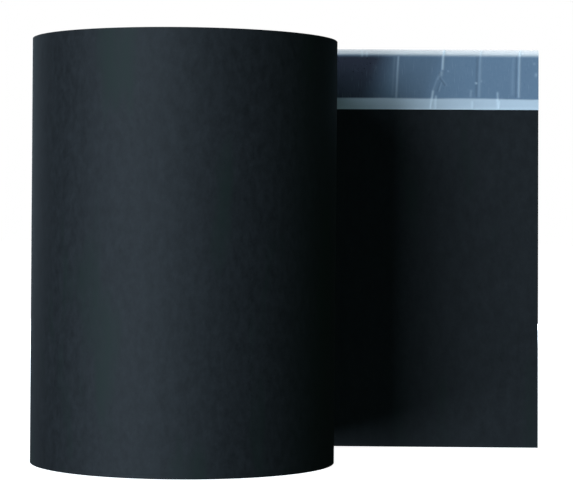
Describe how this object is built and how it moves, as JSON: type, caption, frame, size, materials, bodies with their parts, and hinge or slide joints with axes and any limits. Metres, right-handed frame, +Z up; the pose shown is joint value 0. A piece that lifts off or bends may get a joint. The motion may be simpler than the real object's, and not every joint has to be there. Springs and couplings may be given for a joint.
{
  "type": "roll of window sealing tape",
  "caption": "Wide black rubber sealing membrane wound on a cardboard core, standing on end, with its tail drawn off and an adhesive edge under a release film.",
  "frame": {"origin": "on the axis of the roll and of its core's bore, at the base that the roll stands on", "axes": "+Z up along the bore, +X along the tail as it leaves the roll, +Y from the roll's front to its back, where the tail is"},
  "size_m": [0.313, 0.181, 0.254],
  "materials": {
    "membrane_rubber": "satin",
    "core_board": "matte",
    "adhesive": "gloss",
    "release_film": "gloss"
  },
  "bodies": {
    "root": {"membrane": "membrane_rubber", "core_tube": "core_board", "adhesive_strip": "adhesive", "release_liner": "release_film"}
  },
  "joints": []
}
